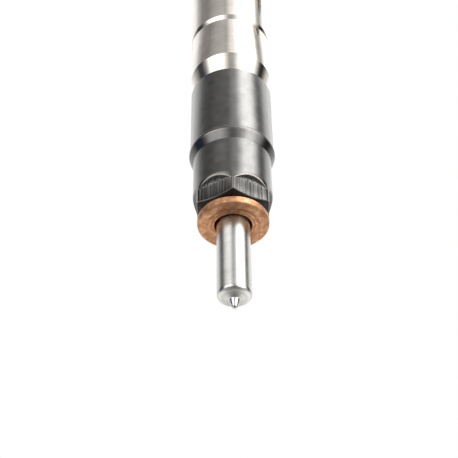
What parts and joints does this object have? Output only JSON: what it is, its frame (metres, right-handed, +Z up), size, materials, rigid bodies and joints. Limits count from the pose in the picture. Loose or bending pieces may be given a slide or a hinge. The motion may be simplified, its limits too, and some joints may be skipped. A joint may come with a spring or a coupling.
{
  "type": "fuel injector",
  "caption": "Solenoid-operated diesel fuel injector: slim nozzle with a copper washer, dark hexagon nozzle nut, bright turned body, side fuel inlet and plug-in socket on top.",
  "frame": {"origin": "centre of the copper sealing washer's lower face, on the injector's axis, where the injector seats in the cylinder head", "axes": "+Z up the injector's axis from the nozzle to the return nipple; +X towards the high-pressure inlet; the electrical socket opens towards -X"},
  "size_m": [0.065, 0.0332, 0.1967],
  "materials": {
    "ground_steel": "ground and polished",
    "tool_steel": "ground",
    "spring_steel": "satin",
    "black_oxide_steel": "black oxide, satin",
    "copper": "annealed copper, satin",
    "copper_wire": "enamelled copper wire",
    "bright_steel": "bright plated, polished",
    "soft_iron": "sintered",
    "tinned_metal": "tin plated, satin",
    "black_nylon": "moulded, fine texture",
    "bobbin_plastic": "moulded",
    "black_rubber": "moulded"
  },
  "bodies": {
    "injector": {"nozzle_body": "ground_steel", "needle_spring_shim": "tool_steel", "dowel_pin_1": "tool_steel", "dowel_pin_2": "tool_steel", "valve_body": "tool_steel", "armature_guide": "tool_steel", "valve_clamp_nut": "tool_steel", "lift_shim": "tool_steel", "valve_spring_shim": "tool_steel", "edge_filter": "tool_steel", "needle_spring": "spring_steel", "armature_spring": "spring_steel", "valve_spring": "spring_steel", "nozzle_nut": "black_oxide_steel", "sealing_washer": "copper", "inlet_seal": "copper", "coil_winding": "copper_wire", "injector_body": "bright_steel", "solenoid_nut": "bright_steel", "inlet_connector": "bright_steel", "magnet_core": "soft_iron", "high_pressure_seal_ring": "tinned_metal", "terminal_1": "tinned_metal", "terminal_2": "tinned_metal", "return_nipple": "tinned_metal", "connector_housing": "black_nylon", "coil_bobbin": "bobbin_plastic", "connector_o_ring": "black_rubber", "return_o_ring": "black_rubber"},
    "needle": {"nozzle_needle": "tool_steel", "needle_spring_seat": "tool_steel"},
    "piston": {"control_piston": "tool_steel"},
    "armature": {"armature_plate": "soft_iron", "armature_pin": "tool_steel"},
    "ball": {"valve_ball": "tool_steel", "ball_guide": "tool_steel"}
  },
  "joints": [
    {"name": "needle_lift", "type": "slide", "parent": "injector", "child": "needle", "axis": [0, 0, 1], "range_m": [0, 0.00025], "stiffness_N_per_m": 30000, "deforming": ["needle_spring"]},
    {"name": "piston_lift", "type": "slide", "parent": "injector", "child": "piston", "axis": [0, 0, 1], "range_m": [0, 0.00025]},
    {"name": "armature_lift", "type": "slide", "parent": "injector", "child": "armature", "axis": [0, 0, 1], "range_m": [0, 0.00005], "stiffness_N_per_m": 25000, "deforming": ["valve_spring", "armature_spring"]},
    {"name": "ball_lift", "type": "slide", "parent": "injector", "child": "ball", "axis": [0, 0, 1], "range_m": [0, 0.00005]}
  ],
  "couplings": [
    {"joint": "piston_lift", "follows": "needle_lift", "ratio": 1},
    {"joint": "ball_lift", "follows": "armature_lift", "ratio": 1}
  ]
}
